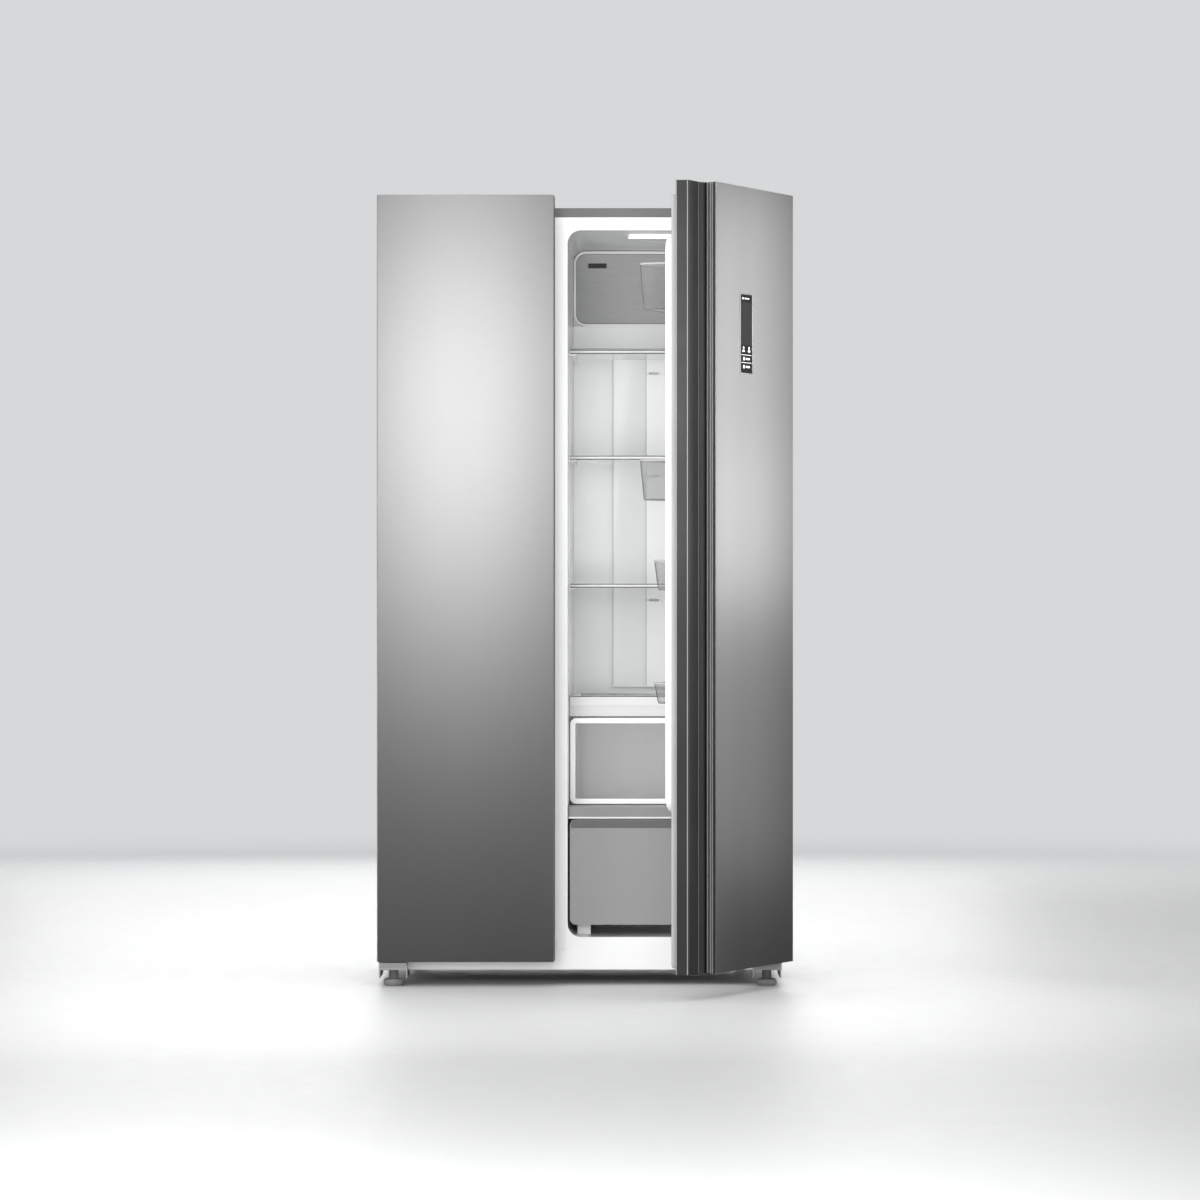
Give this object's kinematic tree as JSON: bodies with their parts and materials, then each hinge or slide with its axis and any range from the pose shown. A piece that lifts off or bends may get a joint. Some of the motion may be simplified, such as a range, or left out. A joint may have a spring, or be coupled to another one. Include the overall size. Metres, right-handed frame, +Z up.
{
  "type": "side by side refrigerator",
  "caption": "Free-standing side by side refrigerator: freezer and larder behind two full-height steel doors, recessed grips, glass shelves, drawers, door bins and touch display.",
  "frame": {"origin": "on the floor, under the middle of the cabinet's width and of its depth without the doors", "axes": "+Z up, -Y towards the doors and the user, +X to the user's right"},
  "size_m": [0.9336, 1.0525, 1.774],
  "materials": {
    "galvanised_steel": "satin",
    "insulation_foam": "matte",
    "black_enamel": "satin",
    "dark_plastic": "matte",
    "circuit_board": "satin",
    "brushed_metal_panel": "satin",
    "clear_plastic": "gloss",
    "grey_clear_plastic": "satin",
    "heater_glass": "gloss",
    "black_glass": "gloss",
    "grey_plastic": "satin",
    "bare_aluminium": "satin",
    "cap_plastic": "satin",
    "gasket_rubber": "matte",
    "grip_trim": "satin",
    "white_plastic": "satin",
    "door_steel": "satin",
    "shelf_glass": "gloss",
    "shelf_trim": "gloss",
    "white_enamel": "gloss",
    "bright_steel": "satin",
    "lamp_lens": "satin",
    "foot_plastic": "satin",
    "cabinet_paint": "satin",
    "copper_pipe": "satin"
  },
  "bodies": {
    "cabinet": {"base_pan": "galvanised_steel", "cabinet_foam": "insulation_foam", "compressor": "black_enamel", "condenser_coil": "black_enamel", "condenser_fan_motor": "galvanised_steel", "control_board": "circuit_board", "cooling_panel": "brushed_metal_panel", "defrost_heater": "heater_glass", "drain_tray": "dark_plastic", "drawer_divider": "grey_plastic", "evaporator_coil": "bare_aluminium", "freezer_duct_cover": "white_plastic", "freezer_fan_motor": "dark_plastic", "freezer_liner": "white_plastic", "freezer_shelves": "shelf_glass", "front_frame": "white_enamel", "hinge_pins": "bright_steel", "hinge_screws": "bright_steel", "larder_duct_cover": "white_plastic", "larder_lamp": "lamp_lens", "larder_liner": "white_plastic", "larder_shelf_glass": "shelf_glass", "larder_shelf_trims": "shelf_trim", "lower_hinge_brackets": "bright_steel", "machine_room_cover": "galvanised_steel", "mains_gland": "dark_plastic", "mullion_strip": "white_enamel", "outer_shell": "cabinet_paint", "rear_panel": "galvanised_steel", "refrigerant_pipes": "copper_pipe", "roller_brackets": "bright_steel", "top_band": "cap_plastic", "top_covers": "cap_plastic", "top_hinge_plates": "bright_steel"},
    "right_door": {"display_glass": "black_glass", "display_module": "dark_plastic", "larder_door_bins": "clear_plastic", "larder_door_end_caps": "cap_plastic", "larder_door_foam": "insulation_foam", "larder_door_gasket": "gasket_rubber", "larder_door_grip_trim": "grip_trim", "larder_door_lining": "white_plastic", "larder_door_panel": "door_steel"},
    "left_door": {"freezer_door_bins": "clear_plastic", "freezer_door_end_caps": "cap_plastic", "freezer_door_foam": "insulation_foam", "freezer_door_gasket": "gasket_rubber", "freezer_door_grip_trim": "grip_trim", "freezer_door_lining": "white_plastic", "freezer_door_panel": "door_steel"},
    "crisper": {"crisper_drawer": "clear_plastic"},
    "lower_drawer_box": {"lower_drawer": "grey_clear_plastic"},
    "freezer_drawer_low": {"freezer_drawer_1": "clear_plastic"},
    "freezer_drawer_high": {"freezer_drawer_2": "clear_plastic"},
    "evaporator_fan": {"freezer_fan": "dark_plastic"},
    "condenser_fan_rotor": {"condenser_fan": "dark_plastic"},
    "foot_left": {"levelling_foot_left": "foot_plastic"},
    "foot_right": {"levelling_foot_right": "foot_plastic"},
    "roller_left": {"rear_roller_left": "foot_plastic"},
    "roller_right": {"rear_roller_right": "foot_plastic"}
  },
  "joints": [
    {"name": "larder_door_hinge", "type": "hinge", "parent": "cabinet", "child": "right_door", "pos_m": [0.441, -0.324, 0.9], "axis": [0, 0, 1], "range_deg": [-65, 50]},
    {"name": "freezer_door_hinge", "type": "hinge", "parent": "cabinet", "child": "left_door", "pos_m": [-0.441, -0.324, 0.9], "axis": [0, 0, -1], "range_deg": [0, 115]},
    {"name": "crisper_slide", "type": "slide", "parent": "cabinet", "child": "crisper", "axis": [0, -1, 0], "range_m": [0, 0.15]},
    {"name": "lower_drawer_slide", "type": "slide", "parent": "cabinet", "child": "lower_drawer_box", "axis": [0, -1, 0], "range_m": [0, 0.11]},
    {"name": "freezer_drawer_low_slide", "type": "slide", "parent": "cabinet", "child": "freezer_drawer_low", "axis": [0, -1, 0], "range_m": [0, 0.08]},
    {"name": "freezer_drawer_high_slide", "type": "slide", "parent": "cabinet", "child": "freezer_drawer_high", "axis": [0, -1, 0], "range_m": [0, 0.075]},
    {"name": "evaporator_fan_spin", "type": "hinge", "parent": "cabinet", "child": "evaporator_fan", "pos_m": [-0.24675, 0.152, 0.86], "axis": [0, 1, 0], "continuous": true},
    {"name": "condenser_fan_spin", "type": "hinge", "parent": "cabinet", "child": "condenser_fan_rotor", "pos_m": [0.01, 0.185, 0.13], "axis": [1, 0, 0], "continuous": true},
    {"name": "foot_turn_left", "type": "hinge", "parent": "cabinet", "child": "foot_left", "pos_m": [-0.41925, -0.311, 0], "axis": [0, 0, 1], "continuous": true},
    {"name": "foot_turn_right", "type": "hinge", "parent": "cabinet", "child": "foot_right", "pos_m": [0.41925, -0.311, 0], "axis": [0, 0, 1], "continuous": true},
    {"name": "roller_spin_left", "type": "hinge", "parent": "cabinet", "child": "roller_left", "pos_m": [-0.38, 0.245, 0.015], "axis": [1, 0, 0], "continuous": true},
    {"name": "roller_spin_right", "type": "hinge", "parent": "cabinet", "child": "roller_right", "pos_m": [0.38, 0.245, 0.015], "axis": [1, 0, 0], "continuous": true}
  ]
}
